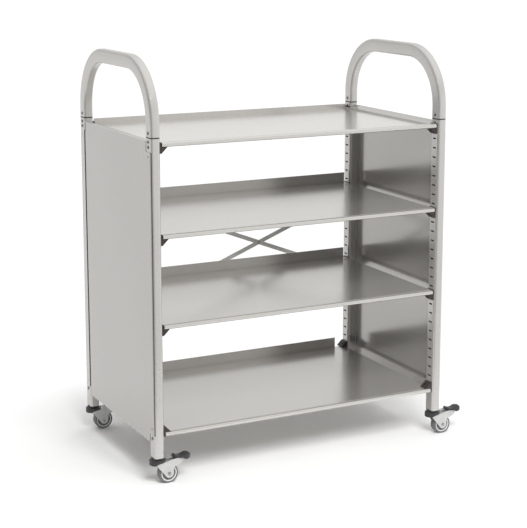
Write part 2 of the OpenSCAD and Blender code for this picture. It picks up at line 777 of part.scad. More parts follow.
module pedal_pin(c) {
    color(steel) at_castor(c) translate([pedal_pin_x, 0, pin_z]) {
        rod_y(pin_r, -fork_out - pin_head_h, fork_out + pin_head_h);
        rod_y(pin_head_r, -fork_out - pin_head_h, -fork_out);
        rod_y(pin_head_r, fork_out, fork_out + pin_head_h);
    }
}

handle(-1);  // left_handle
handle(1);  // right_handle
upright(-1, -1);  // front_left_upright
upright(1, -1);  // front_right_upright
upright(-1, 1);  // rear_left_upright
upright(1, 1);  // rear_right_upright
joint_spigots();
joint_rings();
joint_bolts();
frame_screws();
panel(-1);  // left_panel
panel(1);  // right_panel
panel_clips();
panel_rivets();
shelf(top_shelf_z, top_lip, top_lip_inset, top_dish);  // top_shelf
shelf(upper_shelf_z, upstand, upstand_inset);  // upper_shelf
shelf(middle_shelf_z, upstand, upstand_inset);  // middle_shelf
shelf(bottom_shelf_z, upstand, bottom_upstand_inset, 0, true);  // bottom_shelf
shelf_brackets(top_shelf_z, false, top_dish);  // top_shelf_brackets
shelf_brackets(upper_shelf_z);  // upper_shelf_brackets
shelf_brackets(middle_shelf_z);  // middle_shelf_brackets
shelf_brackets(bottom_shelf_z, true);  // bottom_shelf_brackets
bracket_screws();
brace_falling_bar();
brace_rising_bar();
brace_centre_rivet();
brace_end_bolts();
brace_spacers();
upright_plugs();
castor_stems();
fork(corners[0]);  // front_left_fork
collar(corners[0]);  // front_left_collar
axle(corners[0]);  // front_left_axle
hub(corners[0]);  // front_left_hub
tyre(corners[0]);  // front_left_tyre
brake_pedal(corners[0]);  // front_left_brake_pedal
pedal_pin(corners[0]);  // front_left_pedal_pin
fork(corners[1]);  // front_right_fork
collar(corners[1]);  // front_right_collar
axle(corners[1]);  // front_right_axle
hub(corners[1]);  // front_right_hub
tyre(corners[1]);  // front_right_tyre
brake_pedal(corners[1]);  // front_right_brake_pedal
pedal_pin(corners[1]);  // front_right_pedal_pin
fork(corners[2]);  // rear_left_fork
collar(corners[2]);  // rear_left_collar
axle(corners[2]);  // rear_left_axle
hub(corners[2]);  // rear_left_hub
tyre(corners[2]);  // rear_left_tyre
brake_pedal(corners[2]);  // rear_left_brake_pedal
pedal_pin(corners[2]);  // rear_left_pedal_pin
fork(corners[3]);  // rear_right_fork
collar(corners[3]);  // rear_right_collar
axle(corners[3]);  // rear_right_axle
hub(corners[3]);  // rear_right_hub
tyre(corners[3]);  // rear_right_tyre
brake_pedal(corners[3]);  // rear_right_brake_pedal
pedal_pin(corners[3]);  // rear_right_pedal_pin
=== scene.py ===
"""Looks of a mobile shelving unit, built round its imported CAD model.

Everything is in metres in the CAD frame: +X runs along the shelves, +Y to the back and
+Z up from the floor.
"""
import json
import math

import bmesh
import bpy
from mathutils import Matrix, Vector

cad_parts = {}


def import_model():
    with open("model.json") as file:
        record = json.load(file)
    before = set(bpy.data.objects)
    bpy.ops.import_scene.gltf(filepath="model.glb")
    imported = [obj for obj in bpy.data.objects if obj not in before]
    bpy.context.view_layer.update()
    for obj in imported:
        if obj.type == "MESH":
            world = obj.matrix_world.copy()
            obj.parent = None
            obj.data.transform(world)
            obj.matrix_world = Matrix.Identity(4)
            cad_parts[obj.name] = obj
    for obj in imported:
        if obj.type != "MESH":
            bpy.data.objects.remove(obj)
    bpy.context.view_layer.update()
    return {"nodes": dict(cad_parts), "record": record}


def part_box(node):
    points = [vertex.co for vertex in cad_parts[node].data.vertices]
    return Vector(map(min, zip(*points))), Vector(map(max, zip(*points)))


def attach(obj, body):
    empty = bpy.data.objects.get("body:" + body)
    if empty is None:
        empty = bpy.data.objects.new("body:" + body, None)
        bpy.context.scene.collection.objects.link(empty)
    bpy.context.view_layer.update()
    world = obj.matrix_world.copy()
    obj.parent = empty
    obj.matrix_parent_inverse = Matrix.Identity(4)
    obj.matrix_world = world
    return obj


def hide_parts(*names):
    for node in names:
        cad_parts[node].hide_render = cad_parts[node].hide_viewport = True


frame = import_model()

MM = 0.001
CORNERS = ("front_left", "front_right", "rear_left", "rear_right")


def centre(node):
    low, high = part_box(node)
    return (low + high) / 2


# Sizes read from the frame; castor sizes are measured from the swivel axis of the front left one
POST = {c: centre(c + "_upright") for c in CORNERS}
POST_LOW, POST_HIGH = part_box("front_left_upright")
TUBE_W = POST_HIGH.x - POST_LOW.x
TUBE_D = POST_HIGH.y - POST_LOW.y
RING_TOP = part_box("joint_rings")[1].z
LOOP_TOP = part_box("left_handle")[1].z
AXLE = centre("front_left_axle")
TRAIL = AXLE.x - POST["front_left"].x
WHEEL_R = AXLE.z
PIN = centre("front_left_pedal_pin")
PIN_X = PIN.x - POST["front_left"].x
PEDAL_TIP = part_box("front_left_brake_pedal")[1].x - POST["front_left"].x
TYRE_LOW, TYRE_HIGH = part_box("front_left_tyre")
TYRE_W = TYRE_HIGH.y - TYRE_LOW.y

# Tubes and screw heads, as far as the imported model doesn't give their sizes
TUBE_R = 7 * MM
BEND_R = 140 * MM
BEND_STEPS = 28
CAD_EDGE_R = 0.4 * MM
HEAD_R = 4.2 * MM
HEAD_H = 2.4 * MM

# Painted shade, a dark strip in a groove where there is only shade: outwards and ahead of the
# upright's middle, and up from the floor
GROOVE_OUT = (8.45 * MM, 10.2 * MM)
GROOVE_AHEAD = (15.95 * MM, 12.05 * MM)
GROOVE_Z = (128.2 * MM, 835.8 * MM)

# Shelves; the lap is how far the folded parts reach into each other
ROLL_H = 11.5 * MM
SHEET_T = 1.2 * MM
SHEET_EDGE_R = 0.25 * MM
TOP_DISH = 8 * MM
RIM_DROP = 3.5 * MM
LAP = 0.02 * MM

# Castors; the fork's boss lies round the axle, and FORK_MID is the middle of a cheek's sheet
HUB_R = 20.5 * MM
RIM_R = 18 * MM
BOSS_R = 11 * MM
BOSS_END = TRAIL + BOSS_R
FORK_T = 2 * MM
FORK_MID = 13 * MM
FORK_TOP = 57 * MM
FORK_END = PIN_X + 4 * MM
FORK_BEND = 15.5 * MM
FORK_TAPER = 0.045
FORK_SIDE = 14 * MM
COLLAR_R = 20.5 * MM
PEDAL_R = 13 * MM


# Materials

def tree_of(name):
    material = bpy.data.materials.new(name)
    material.use_nodes = True
    tree = material.node_tree
    return material, tree, tree.nodes["Principled BSDF"]


def noise(tree, scale, detail):
    """A noise texture in the object's own space."""
    coords = tree.nodes.new("ShaderNodeTexCoord")
    texture = tree.nodes.new("ShaderNodeTexNoise")
    texture.inputs["Scale"].default_value = scale
    texture.inputs["Detail"].default_value = detail
    tree.links.new(coords.outputs["Object"], texture.inputs["Vector"])
    return texture.outputs["Fac"]


def ramp(tree, source, stops):
    """A colour ramp through stops of (position, colour)."""
    node = tree.nodes.new("ShaderNodeValToRGB")
    elements = node.color_ramp.elements
    for element, (at, colour) in zip(elements, (stops[0], stops[-1])):
        element.position = at
        element.color = (*colour, 1)
    for at, colour in stops[1:-1]:
        elements.new(at).color = (*colour, 1)
    tree.links.new(source, node.inputs["Fac"])
    return node.outputs["Color"]


def map_range(tree, source, start, end, low=0.0, high=1.0):
    node = tree.nodes.new("ShaderNodeMapRange")
    for key, value in (("From Min", start), ("From Max", end), ("To Min", low), ("To Max", high)):
        node.inputs[key].default_value = value
    tree.links.new(source, node.inputs["Value"])
    return node.outputs["Result"]


def bump(tree, shader, source, strength, distance):
    node = tree.nodes.new("ShaderNodeBump")
    node.inputs["Strength"].default_value = strength
    node.inputs["Distance"].default_value = distance
    tree.links.new(source, node.inputs["Height"])
    tree.links.new(node.outputs["Normal"], shader.inputs["Normal"])


def finish_of(name, colour, metallic, roughness, mottle=0.03, patch=5.0, grain=900.0,
              grain_height=0.02 * MM, grain_strength=0.25, sheen=0.0):
    """A surface with faint patches in its colour, and a fine grain in its gloss and height."""
    material, tree, shader = tree_of(name)
    low = [v * (1 - mottle) for v in colour]
    high = [min(1.0, v * (1 + mottle)) for v in colour]
    patches = noise(tree, patch, 4.0)
    tree.links.new(ramp(tree, patches, ((0.35, low), (0.65, high))), shader.inputs["Base Color"])
    fine = noise(tree, grain, 2.0)
    gloss = map_range(tree, fine, 0.3, 0.7, roughness * 0.92, roughness * 1.08)
    tree.links.new(gloss, shader.inputs["Roughness"])
    bump(tree, shader, fine, grain_strength, grain_height)
    shader.inputs["Metallic"].default_value = metallic
    shader.inputs["Sheen Weight"].default_value = sheen
    return material


MATERIALS = {
    "tube": finish_of("silver_tube", (0.57, 0.556, 0.536), 0.65, 0.28,
                      mottle=0.015, grain=1400, grain_strength=0.1),
    "panel": finish_of("panel_silver", (0.48, 0.468, 0.448), 0.60, 0.18,
                       mottle=0.015, patch=3, grain=1100, grain_strength=0.08),
    "shelf": finish_of("shelf_silver", (0.66, 0.645, 0.622), 0.78, 0.21,
                       mottle=0.015, patch=3, grain=1100, grain_strength=0.08),
    "bracket": finish_of("bracket_black", (0.034, 0.026, 0.024), 0.0, 0.42,
                         mottle=0.15, grain=2500),
    "joint_ring": finish_of("ring_black", (0.03, 0.03, 0.03), 0.0, 0.55,
                            mottle=0.1, grain=2500),
    "black_plastic": finish_of("castor_black", (0.036, 0.036, 0.037), 0.0, 0.40,
                               mottle=0.12, grain=2200),
    "screw": finish_of("screw_steel", (0.42, 0.42, 0.41), 1.0, 0.30, patch=60, grain=3500),
    # Washer colour darkened to near-black: partly the washer, partly painted shade round the
    # screw heads
    "washer": finish_of("washer_and_painted_shade", (0.05, 0.05, 0.05), 0.5, 0.45, patch=60, grain=3500),
    # Near-black for the painted shade in the uprights' grooves
    "groove_shade": finish_of("groove_shade_paint", (0.02, 0.02, 0.02), 0.0, 0.7, mottle=0.1, grain=2500),
    "zinc": finish_of("zinc_plate", (0.62, 0.62, 0.616), 0.75, 0.34,
                      mottle=0.06, patch=45, grain=2400),
    "brace_bar": finish_of("bar_silver", (0.86, 0.855, 0.84), 0.3, 0.42, grain=1400),
    "hub": finish_of("hub_grey", (0.17, 0.172, 0.172), 0.0, 0.50,
                     mottle=0.08, patch=60, grain=2500),
    "rim": finish_of("rim_grey", (0.76, 0.77, 0.77), 0.0, 0.42,
                     mottle=0.04, patch=60, grain=2500),
    "tyre": finish_of("tyre_grey", (0.15, 0.15, 0.152), 0.0, 0.62, mottle=0.1, patch=80,
                      grain=1800, grain_height=0.05 * MM, grain_strength=0.5, sheen=0.15),
    "pedal": finish_of("pedal_black", (0.034, 0.034, 0.036), 0.0, 0.45,
                       mottle=0.12, patch=60, grain=2200),
}


# Outlines

def in_mm(*points):
    return [(a * MM, b * MM) for a, b in points]


def arc(cx, cy, r, start, end, steps):
    """Points on an arc, angles in degrees."""
    out = []
    for i in range(steps + 1):
        a = math.radians(start + (end - start) * i / steps)
        out.append((cx + r * math.cos(a), cy + r * math.sin(a)))
    return out


def rounded_rect(w, d, r, steps):
    """Outline of a rounded rectangle, anticlockwise."""
    x, y = w / 2 - r, d / 2 - r
    return (arc(x, y, r, 0, 90, steps) + arc(-x, y, r, 90, 180, steps)
            + arc(-x, -y, r, 180, 270, steps) + arc(x, -y, r, 270, 360, steps))


def both_sides(side):
    """A closed profile of (radius, height) from the half of it that has positive heights."""
    return [(r, -h) for r, h in side] + side[::-1]


def between(points, x):
    """Straight lines through the points, level beyond the last."""
    for (x0, y0), (x1, y1) in zip(points, points[1:]):
        if x <= x1:
            return y0 + (y1 - y0) * (x - x0) / (x1 - x0)
    return points[-1][1]


# Meshes

def skin(bm, rings, closed=False):
    """Quads between rings of equally many points.

    Where closed, the last ring meets the first; otherwise both end rings are filled.
    """
    made = [[bm.verts.new(p) for p in ring] for ring in rings]
    pairs = list(zip(made, made[1:]))
    if closed:
        pairs.append((made[-1], made[0]))
    for a, b in pairs:
        for i in range(len(a)):
            j = (i + 1) % len(a)
            bm.faces.new((a[i], a[j], b[j], b[i]))
    if not closed:
        bm.faces.new(list(reversed(made[0])))
        bm.faces.new(made[-1])
    return made


def prism(bm, outline, low, high):
    """A level outline of (x, y) carried from one height to another."""
    skin(bm, [[Vector((x, y, z)) for x, y in outline] for z in (low, high)])


def box_of(bm, a, b):
    """A box between two opposite corners."""
    prism(bm, [(a[0], a[1]), (b[0], a[1]), (b[0], b[1]), (a[0], b[1])], a[2], b[2])


def revolve(bm, profile, steps, axis="Z", origin=(0, 0, 0)):
    """A closed profile of (radius, height) points turned round the Z or the Y axis."""
    rings = []
    for u, v in arc(0, 0, 1, 0, 360, steps)[:-1]:
        ring = [(r * u, r * v, h) if axis == "Z" else (r * u, h, r * v) for r, h in profile]
        rings.append([Vector(p) + Vector(origin) for p in ring])
    return skin(bm, rings, closed=True)


def piece(name, bm, material, smooth=40.0, bevel=0.0):
    """A mesh object from bm, smooth except at edges sharper than the given angle."""
    bmesh.ops.remove_doubles(bm, verts=bm.verts, dist=1e-6)
    bmesh.ops.recalc_face_normals(bm, faces=bm.faces)
    for face in bm.faces:
        face.smooth = True
    limit = math.radians(smooth)
    for edge in bm.edges:
        edge.smooth = not (len(edge.link_faces) == 2 and edge.calc_face_angle(0.0) > limit)
    mesh = bpy.data.meshes.new(name)
    bm.to_mesh(mesh)
    bm.free()
    mesh.materials.append(MATERIALS[material])
    thing = bpy.data.objects.new(name, mesh)
    bpy.context.scene.collection.objects.link(thing)
    if bevel:
        soften(thing, bevel, 35.0)
    return thing


def soften(thing, width, angle):
    """Fine rounded edges where faces meet at more than the angle, with clean normals."""
    edge = thing.modifiers.new("edges", "BEVEL")
    edge.width = width
    edge.segments = 2
    edge.limit_method = "ANGLE"
    edge.angle_limit = math.radians(angle)
    edge.harden_normals = False
    normals = thing.modifiers.new("normals", "WEIGHTED_NORMAL")
    normals.keep_sharp = False
    normals.weight = 80


def settle(thing, body, slot, *nodes):
    """The piece rides on its body and replaces the CAD nodes given; the slot argument is not
    used.
    """
    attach(thing, body)
    if nodes:
        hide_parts(*nodes)
    return thing


# CAD nodes that stay

def dress(node, material):
    """A CAD node keeps its mesh and gets a material and fine rounded edges."""
    thing = frame["nodes"][node]
    thing.data.materials.clear()
    thing.data.materials.append(MATERIALS[material])
    weld = thing.modifiers.new("weld", "WELD")
    weld.merge_threshold = 1e-6
    flat = thing.modifiers.new("flat", "DECIMATE")
    flat.decimate_type = "DISSOLVE"
    flat.angle_limit = math.radians(0.5)
    soften(thing, CAD_EDGE_R, 40.0)


for record_row in frame["record"]["subparts"]:
    dress(record_row["node"], record_row["material_slot"])


# Handle loops

def handle_loop(side):
    """One loop of oval tube, swept up a leg, over the top and down the other leg."""
    x = POST["front_" + side].x
    front, rear = POST["front_left"].y, POST["rear_left"].y
    leg_top = LOOP_TOP - TUBE_D / 2 - BEND_R
    stations = [(Vector((x, front, RING_TOP)), Vector((0, -1, 0)))]
    for y, start in ((front + BEND_R, 180), (rear - BEND_R, 90)):
        for u, v in arc(0, 0, 1, start, start - 90, BEND_STEPS):
            out = Vector((0, u, v))
            stations.append((Vector((x, y, leg_top)) + BEND_R * out, out))
    stations.append((Vector((x, rear, RING_TOP)), Vector((0, 1, 0))))
    outline = rounded_rect(TUBE_W, TUBE_D, TUBE_R, 8)
    bm = bmesh.new()
    skin(bm, [[p + Vector((u, 0, 0)) + out * v for u, v in outline] for p, out in stations])
    settle(piece(side + "_handle_loop", bm, "tube"), "cabinet", "tube", side + "_handle")


handle_loop("left")
handle_loop("right")


# Castors, built on the swivel axis of one castor and then copied to all four

# Lower edge of a cheek behind the axle boss, in mm: distance behind the boss, height
FORK_REAR = [(0, 25), (0.3, 37), (1.2, 39.5), (3, 41), (6, 42.2), (14, 44.6), (22, 49.2),
             (26, 53.2), (28, 58)]

# Pedal sections from the inner lobe over the waist to the outer lobe, in mm:
# distance behind the swivel axis, half width, bottom, top
PEDAL_SECTIONS = [
    (40.2, 4.0, 63.0, 66.5), (41.0, 7.5, 61.2, 68.2), (42.5, 9.8, 60.0, 69.2),
    (45.0, 10.8, 59.6, 69.5), (47.5, 11.0, 60.2, 69.0), (49.5, 11.0, 61.0, 67.6),
    (52.0, 11.0, 61.2, 66.2), (56.0, 11.0, 60.8, 65.6), (60.0, 11.0, 59.4, 65.6),
    (64.0, 11.0, 58.2, 66.2), (67.0, 11.3, 56.6, 67.6), (70.0, 12.2, 55.2, 69.0),
    (73.0, 12.8, 54.4, 69.8), (76.0, 12.9, 54.1, 70.0)]


def fork_edges(x):
    """Bottom and top of a fork cheek at a distance x behind the swivel axis."""
    heel_x, heel_z, heel_drop = -7 * MM, 50 * MM, 1 * MM
    boss_x, boss_z = 18.4 * MM, 18.1 * MM
    if x <= heel_x:
        low = heel_z - heel_drop * (x / heel_x - 1)
    elif x <= boss_x:
        low = heel_z + (boss_z - heel_z) * (x - heel_x) / (boss_x - heel_x)
    elif x <= BOSS_END:
        low = WHEEL_R - math.sqrt(max(0.0, BOSS_R ** 2 - (x - TRAIL) ** 2))
    else:
        low = between(FORK_REAR, (x - BOSS_END) / MM) * MM
    rise_start, arch, climb, least = COLLAR_R + 0.3 * MM, 4.2 * MM, 2.6 * MM, 0.8 * MM
    top = FORK_TOP
    if x > rise_start:
        t = (x - rise_start) / (FORK_END - rise_start)
        top = FORK_TOP + arch * math.sin(math.pi * min(1.0, t) ** 0.8) + climb * t * t
    return low, max(top, low + least)


def cheek_mid(x):
    """Distance of a cheek's middle from the castor's middle plane."""
    return FORK_MID - max(0.0, FORK_BEND - x) * FORK_TAPER


def fork_piece():
    """Pressed fork: one bent sheet round the front, two cheeks and a top plate."""
    xs = [x for x in (FORK_END - i * MM for i in range(28)) if x > BOSS_END + 3.5 * MM]
    xs += [BOSS_END + gap * MM for gap in (3, 1.2, 0.3)]
    xs += [TRAIL + BOSS_R * math.cos(math.radians(a)) for a in range(0, 144, 8)]
    xs += [FORK_BEND, 12 * MM, 8 * MM, 4 * MM, 0.0]
    stations = [(Vector((x, cheek_mid(x))), Vector((0, 1))) for x in xs]
    for u, v in arc(0, 0, 1, 90, 270, 24)[1:-1]:
        stations.append((cheek_mid(0) * Vector((u, v)), Vector((u, v))))
    stations += [(Vector((x, -cheek_mid(x))), Vector((0, -1))) for x in reversed(xs)]
    half, edge, line_w, line_mid = FORK_T / 2, 0.5 * MM, 0.7 * MM, 0.3 * MM
    rings = []
    for p, out in stations:
        low, top = fork_edges(p.x)
        line = top - min(2.4 * MM, (top - low) * 0.4)
        dip = 0.35 * MM if top - low > 5 * MM and p.x > COLLAR_R else 0.0
        section = [
            (-half, low + edge), (-half + edge, low), (half - edge, low), (half, low + edge),
            (half, line - line_w), (half - dip, line - line_mid), (half - dip, line + line_mid),
            (half, line + line_w), (half, top - edge), (half - edge, top),
            (-half + edge, top), (-half, top - edge)]
        section = [(s, min(max(z, low), top)) for s, z in section]
        rings.append([Vector((p.x + out.x * s, p.y + out.y * s, z)) for s, z in section])
    bm = bmesh.new()
    skin(bm, rings)
    revolve(bm, in_mm((5.05, 54), (5.05, 56.9), (12.6, 56.9), (12.6, 54)), 40)
    rear_plate = in_mm((-2, -12.2), (47, -12.2), (48, -11.2), (48, 11.2), (47, 12.2), (-2, 12.2),
                       (6, 4), (6, -4))
    prism(bm, rear_plate, 54.1 * MM, 56.8 * MM)
    return piece("fork_form", bm, "zinc", 38)


def collar_piece():
    """Black bell over the swivel: a domed top and a skirt that hangs lower at the front."""
    bore, inside, skirt = 5.4 * MM, 16.1 * MM, 6.4 * MM
    dome = [(COLLAR_R, 61.4 * MM), (COLLAR_R - 0.3 * MM, 62.4 * MM),
            (COLLAR_R - 1.2 * MM, 63.2 * MM)]
    dome += in_mm((17.6, 63.9), (16.6, 64.6), (15.9, 65.6), (15.0, 66.0)) + [(bore, 66.0 * MM)]
    rings = []
    for u, v in arc(0, 0, 1, 0, 360, 64)[:-1]:
        ahead = 0.5 - 0.5 * math.tanh(4 * (u + 0.35))
        low = FORK_TOP + 0.05 * MM - skirt * ahead
        profile = [(COLLAR_R - 0.2 * MM, low), (COLLAR_R, low + 0.3 * MM)] + dome
        profile += [(bore, FORK_TOP + 0.1 * MM), (inside, FORK_TOP + 0.1 * MM), (inside, low)]
        rings.append([Vector((r * u, r * v, z)) for r, z in profile])
    bm = bmesh.new()
    skin(bm, rings, closed=True)
    return piece("collar_form", bm, "black_plastic", 32)


def turned_piece(name, side, steps, x, z, material, smooth=35):
    """A form turned round a level axis across the castor, alike on both its sides."""
    bm = bmesh.new()
    revolve(bm, both_sides(side), steps, "Y", (x, 0, z))
    return piece(name, bm, material, smooth)


def tyre_piece():
    half, r = TYRE_W / 2, 2.2 * MM
    side = [(HUB_R, half - 0.6 * MM), (HUB_R + 0.5 * MM, half), (HUB_R + 1.3 * MM, half),
            (HUB_R + 1.5 * MM, half - 0.25 * MM)]
    side += arc(WHEEL_R - r, half - r, r, 90, 0, 6)
    return turned_piece("tyre_form", side, 96, TRAIL, WHEEL_R, "tyre")


def rim_piece():
    """Light ring that stands between the tyre and the hub's dark face."""
    half = TYRE_W / 2 - 0.3 * MM
    side = [(RIM_R, half - 0.8 * MM), (RIM_R + 0.8 * MM, half), (HUB_R - 0.6 * MM, half),
            (HUB_R, half - 0.5 * MM)]
    return turned_piece("rim_form", side, 96, TRAIL, WHEEL_R, "rim", 50)


def hub_piece():
    """Hub face: a boss, a dished web and a raised lip inside the rim."""
    side = in_mm((3.1, 11.6), (7.4, 11.6), (7.9, 11.2), (8.3, 9.0), (9.6, 7.6), (11.5, 7.1),
                 (15.0, 7.1), (16.2, 7.6), (16.8, 8.6), (17.6, 8.9), (18.0, 8.6))
    return turned_piece("hub_form", side, 72, TRAIL, WHEEL_R, "hub")


def rivet_piece(name, x, z, shank, head, height):
    """A shaft across the fork with a domed head at each end."""
    crown = [(0.0, 1.0), (0.45, 0.95), (0.8, 0.65), (1.0, 0.2)]
    side = [(head * r, FORK_SIDE + height * h) for r, h in crown]
    side += [(head, FORK_SIDE), (shank, FORK_SIDE)]
    return turned_piece(name, side, 32, x, z, "screw")


def pedal_half(x):
    """Half width of the outer lobe's round end at a distance x behind the swivel axis."""
    past = max(0.0, x - (PEDAL_TIP - PEDAL_R))
    return math.sqrt(max(0.0, PEDAL_R ** 2 - past ** 2))


def pedal_piece():
    """Rocking pedal: lobes lofted along X, a cross boss on the pin and ridges on top."""
    stations = [tuple(v * MM for v in row) for row in PEDAL_SECTIONS]
    last_x, _, last_low, last_high = stations[-1]
    for i in range(1, 9):
        t = math.sin(math.pi / 2 * i / 8)
        x = last_x + (PEDAL_TIP - last_x) * t
        shrink = 6.5 * MM * (1 - math.sqrt(max(0.0, 1 - t ** 2)))
        stations.append((x, max(pedal_half(x), 0.8 * MM), last_low + shrink, last_high - shrink))
    rings = []
    for x, w, low, high in stations:
        d = high - low
        outline = rounded_rect(2 * w, d, min(w, d / 2) * 0.62, 5)
        rings.append([Vector((x, u, (low + high) / 2 + v)) for u, v in outline])
    bm = bmesh.new()
    skin(bm, rings)
    boss = both_sides(in_mm((2.05, 10.9), (4.4, 10.9)))
    revolve(bm, boss, 32, "Y", (PIN_X, 0, PIN.z))
    first_ridge, ridge_pitch, ridge_r, ridge_z = 72.5 * MM, 3.2 * MM, 0.9 * MM, 69.4 * MM
    for i in range(4):
        x = first_ridge + i * ridge_pitch
        half = pedal_half(x) - 4.6 * MM
        profile = arc(x, ridge_z, ridge_r, 0, 180, 6)
        skin(bm, [[Vector((p, s * half, q)) for p, q in profile] for s in (-1, 1)])
    return piece("pedal_form", bm, "pedal", 40)


def arm_piece():
    """Grey steel arm between the swivel cover and the inner lobe, with its rivet."""
    start, end, half = 22.2 * MM, 42.5 * MM, 4 * MM
    bm = bmesh.new()
    prism(bm, arc(start + half, 0, half, 90, 270, 10) + [(end, -half), (end, half)],
          61.1 * MM, 63.6 * MM)
    dome = in_mm((0.0, 65.4), (1.0, 65.3), (1.9, 64.8), (2.4, 64.0), (2.4, 63.4), (0.0, 63.4))
    revolve(bm, dome, 24, "Z", (33 * MM, 0, 0))
    return piece("arm_form", bm, "zinc", 35)


def castors():
    """Forms are built once; each castor gets its own copy of every piece."""
    axle = rivet_piece("axle_form", TRAIL, WHEEL_R, 3 * MM, 5 * MM, 1.9 * MM)
    pin = rivet_piece("pin_form", PIN_X, PIN.z, 2 * MM, 3.2 * MM, 1.2 * MM)
    forms = {
        "fork_shell": (fork_piece(), "swivel", "zinc", "fork"),
        "swivel_cover": (collar_piece(), "swivel", "black_plastic", "collar"),
        "tyre_ring": (tyre_piece(), "wheel", "tyre", "tyre"),
        "hub_face": (hub_piece(), "wheel", "hub", "hub"),
        "rim_ring": (rim_piece(), "wheel", "hub", None),
        "axle_rivet": (axle, "swivel", "screw", "axle"),
        "pin_rivet": (pin, "swivel", "screw", "pedal_pin"),
        "pedal_shell": (pedal_piece(), "pedal", "pedal", "brake_pedal"),
        "pedal_arm": (arm_piece(), "pedal", "zinc", None),
    }
    for name, (form, body, slot, node) in forms.items():
        for c in CORNERS:
            twin = bpy.data.objects.new(c + "_" + name, form.data)
            bpy.context.scene.collection.objects.link(twin)
            twin.location = (POST[c].x, POST[c].y, 0)
            nodes = [c + "_" + node] if node else []
            settle(twin, c + "_" + body, slot, *nodes)
        bpy.data.objects.remove(form)


castors()


# Screws and bolts with domed heads on washers; the washers' near-black colour is painted shade
# round the heads

def domed_head(heads, washers, base, out):
    """A head on base that stands out along the unit vector out, with a socket in its crown."""
    turn = Vector((0, 0, 1)).rotation_difference(Vector(out)).to_matrix().to_4x4()
    move = Matrix.Translation(Vector(base)) @ turn
    r, h = HEAD_R * 0.74, HEAD_H
    crown = [(0.0, h * 0.45), (r * 0.40, h * 0.45), (r * 0.44, h * 0.96), (r * 0.6, h * 0.97),
             (r * 0.85, h * 0.80), (r, h * 0.5), (r, 0.0), (0.0, 0.0)]
    rim = [(r * 0.9, 0.0), (HEAD_R, 0.0), (HEAD_R, h * 0.22), (HEAD_R * 0.93, h * 0.32),
           (r * 0.9, h * 0.32)]
    for bm, profile in ((heads, crown), (washers, rim)):
        new = revolve(bm, profile, 24)
        bmesh.ops.transform(bm, matrix=move, verts=[v for ring in new for v in ring])


def bolt_heads():
    """Heads on the uprights' outer flats; the joint bolts have them on the inner flats too."""
    for node, sides in (("joint_bolts", (1, -1)), ("frame_screws", (1,))):
        low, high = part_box(node)
        heads, washers = bmesh.new(), bmesh.new()
        for c in CORNERS:
            outward = -1 if "left" in c else 1
            for z in (low.z + HEAD_R, high.z - HEAD_R):
                for side in sides:
                    out = outward * side
                    base = (POST[c].x + out * TUBE_W / 2, POST[c].y, z)
                    domed_head(heads, washers, base, (out, 0, 0))
        settle(piece(node + "_heads", heads, "screw", 35), "cabinet", "screw", node)
        # Washers in near-black, which paints the shade round the heads
        settle(piece(node + "_washers_and_shade", washers, "washer", 35), "cabinet", "screw")


bolt_heads()


# Painted shade: dark strips in the grooves of the uprights, standing in for the shade inside them

def painted_groove_shade_strips():
    """A dark strip on the floor of each groove, set in from its mouth, as painted shade."""
    for c in CORNERS:
        side = -1 if "left" in c else 1
        x = [POST[c].x + side * v for v in GROOVE_OUT]
        y = [POST[c].y - v for v in GROOVE_AHEAD]
        bm = bmesh.new()
        box_of(bm, (min(x), y[0], GROOVE_Z[0]), (max(x), y[1], GROOVE_Z[1]))
        # The strip is painted shade, not a part of the unit
        settle(piece(c + "_groove_shade_strip", bm, "groove_shade", 35), "cabinet", "black_plastic")


painted_groove_shade_strips()


# Shelves with a crease behind the rolled edge

def shelf_sheet(node, inset, dish=0.0):
    """Deck, crease, open roll, end flanges and rear upstand, folded from one sheet.

    The rear upstand ends short of the sheet's ends by inset, and the deck lies below the
    roll by dish.
    """
    low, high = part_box(node)
    top = low.z + ROLL_H
    deck = top - dish
    # Points behind the roll, in mm: distance from the front edge, depth below the roll's top
    if dish:
        above = [(6.2, 0), (6.8, 2.6), (8.8, 2.6), (9.4, 0), (11.5, 0), (11.5, dish / MM)]
        below = [(5.2, 0), (5.6, 2.6), (10.3, 2.6), (10.3, dish / MM)]
    else:
        above = [(7.5, 0), (8.1, 2.6), (10.0, 2.6), (10.7, 0)]
        below = [(6.5, 0), (6.9, 2.6), (11.1, 2.6), (11.7, 0)]
    section = []
    for depth, points in ((0.0, above), (SHEET_T, below)):
        face = arc(low.y + ROLL_H / 2, top - ROLL_H / 2, ROLL_H / 2 - depth, -60, -270, 40)
        face += [(low.y + y, top - depth - d) for y, d in in_mm(*points)]
        face.append((high.y, deck - depth))
        section += face[::-1] if section else face
    bm = bmesh.new()
    skin(bm, [[Vector((x, y, z)) for y, z in section] for x in (low.x, high.x)])
    front, back = low.y + ROLL_H, high.y - SHEET_T
    for x in (low.x, high.x - SHEET_T):
        box_of(bm, (x, front, low.z), (x + SHEET_T, high.y, deck - SHEET_T + LAP))
        if dish:
            box_of(bm, (x, front, deck - LAP), (x + SHEET_T, back - LAP, top - RIM_DROP))
    box_of(bm, (low.x + inset, back, deck - LAP), (high.x - inset, high.y, high.z))
    settle(piece(node + "_sheet", bm, "shelf", 30, SHEET_EDGE_R), "cabinet", "shelf", node)


shelf_sheet("top_shelf", 2 * MM, TOP_DISH)
shelf_sheet("upper_shelf", 4 * MM)
shelf_sheet("middle_shelf", 4 * MM)
shelf_sheet("bottom_shelf", 30 * MM)


# Floor, light and camera

WHITE = 1.05


